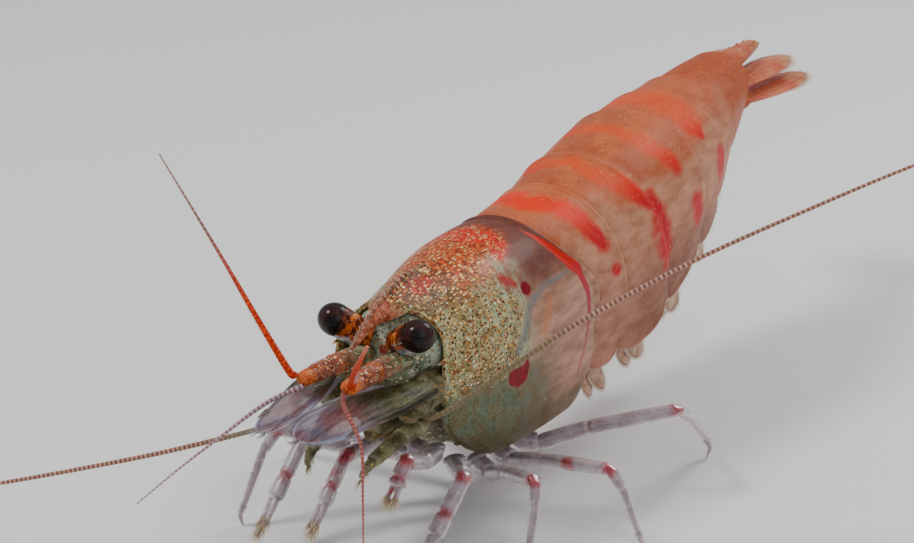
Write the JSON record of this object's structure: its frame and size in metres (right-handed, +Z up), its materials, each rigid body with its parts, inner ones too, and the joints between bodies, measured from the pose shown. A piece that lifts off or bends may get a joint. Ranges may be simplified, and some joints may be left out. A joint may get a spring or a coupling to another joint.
{
  "type": "red tiger dwarf shrimp model",
  "caption": "Life-size still model of a red-banded dwarf aquarium shrimp standing on its walking legs, with long feelers, stalked eyes, banded tail and closed tail fan.",
  "frame": {"origin": "on the floor under the middle of the whole model's box, at the level of the feet", "axes": "+Z up; the shrimp faces -Y with its tail towards +Y, and its left side is +X"},
  "size_m": [0.0368, 0.0438, 0.0142],
  "materials": {
    "head_shell": "clear wet shell over olive flesh, orange on the back, fine dark dots and gold flecks",
    "tail_shell": "clear wet shell over pale flesh with orange to red cross bands",
    "tail_fan": "thin clear orange-beige paddles with ribs and a hair fringe",
    "swimmerets": "thin clear beige paddles",
    "eyestalks": "orange and gold, blue-white under the eye",
    "eyes": "very dark red-brown, glossy",
    "legs": "glassy beige with red joints",
    "antenna_scales": "clear grey-green blade with a lilac tip",
    "feelers": "ringed gold-beige and orange-red",
    "feeler_stems": "clear beige with orange and white speckles",
    "underside": "soft grey-green, wet"
  },
  "bodies": {
    "root": {"abdomen_1": "tail_shell", "abdomen_2": "tail_shell", "abdomen_3": "tail_shell", "abdomen_4": "tail_shell", "abdomen_5": "tail_shell", "abdomen_6": "tail_shell", "antenna_base_left": "feeler_stems", "antenna_base_right": "feeler_stems", "antenna_far_left": "feelers", "antenna_far_right": "feelers", "antenna_near_left": "feelers", "antenna_near_right": "feelers", "antenna_scale_left": "antenna_scales", "antenna_scale_right": "antenna_scales", "antennule_inner_left": "feelers", "antennule_inner_right": "feelers", "antennule_outer_left": "feelers", "antennule_outer_right": "feelers", "antennule_stem_left": "feeler_stems", "antennule_stem_right": "feeler_stems", "carapace": "head_shell", "eye_left": "eyes", "eye_right": "eyes", "eyestalk_left": "eyestalks", "eyestalk_right": "eyestalks", "jaw_foot_left": "legs", "jaw_foot_right": "legs", "leg_1_left": "legs", "leg_1_right": "legs", "leg_2_left": "legs", "leg_2_right": "legs", "leg_3_left": "legs", "leg_3_right": "legs", "leg_4_left": "legs", "leg_4_right": "legs", "leg_5_left": "legs", "leg_5_right": "legs", "mouthparts": "underside", "rostrum": "head_shell", "swimmeret_1_left": "swimmerets", "swimmeret_1_right": "swimmerets", "swimmeret_2_left": "swimmerets", "swimmeret_2_right": "swimmerets", "swimmeret_3_left": "swimmerets", "swimmeret_3_right": "swimmerets", "swimmeret_4_left": "swimmerets", "swimmeret_4_right": "swimmerets", "swimmeret_5_left": "swimmerets", "swimmeret_5_right": "swimmerets", "telson": "tail_shell", "thorax_underside": "underside", "uropod_inner_left": "tail_fan", "uropod_inner_right": "tail_fan", "uropod_outer_left": "tail_fan", "uropod_outer_right": "tail_fan"}
  },
  "joints": []
}
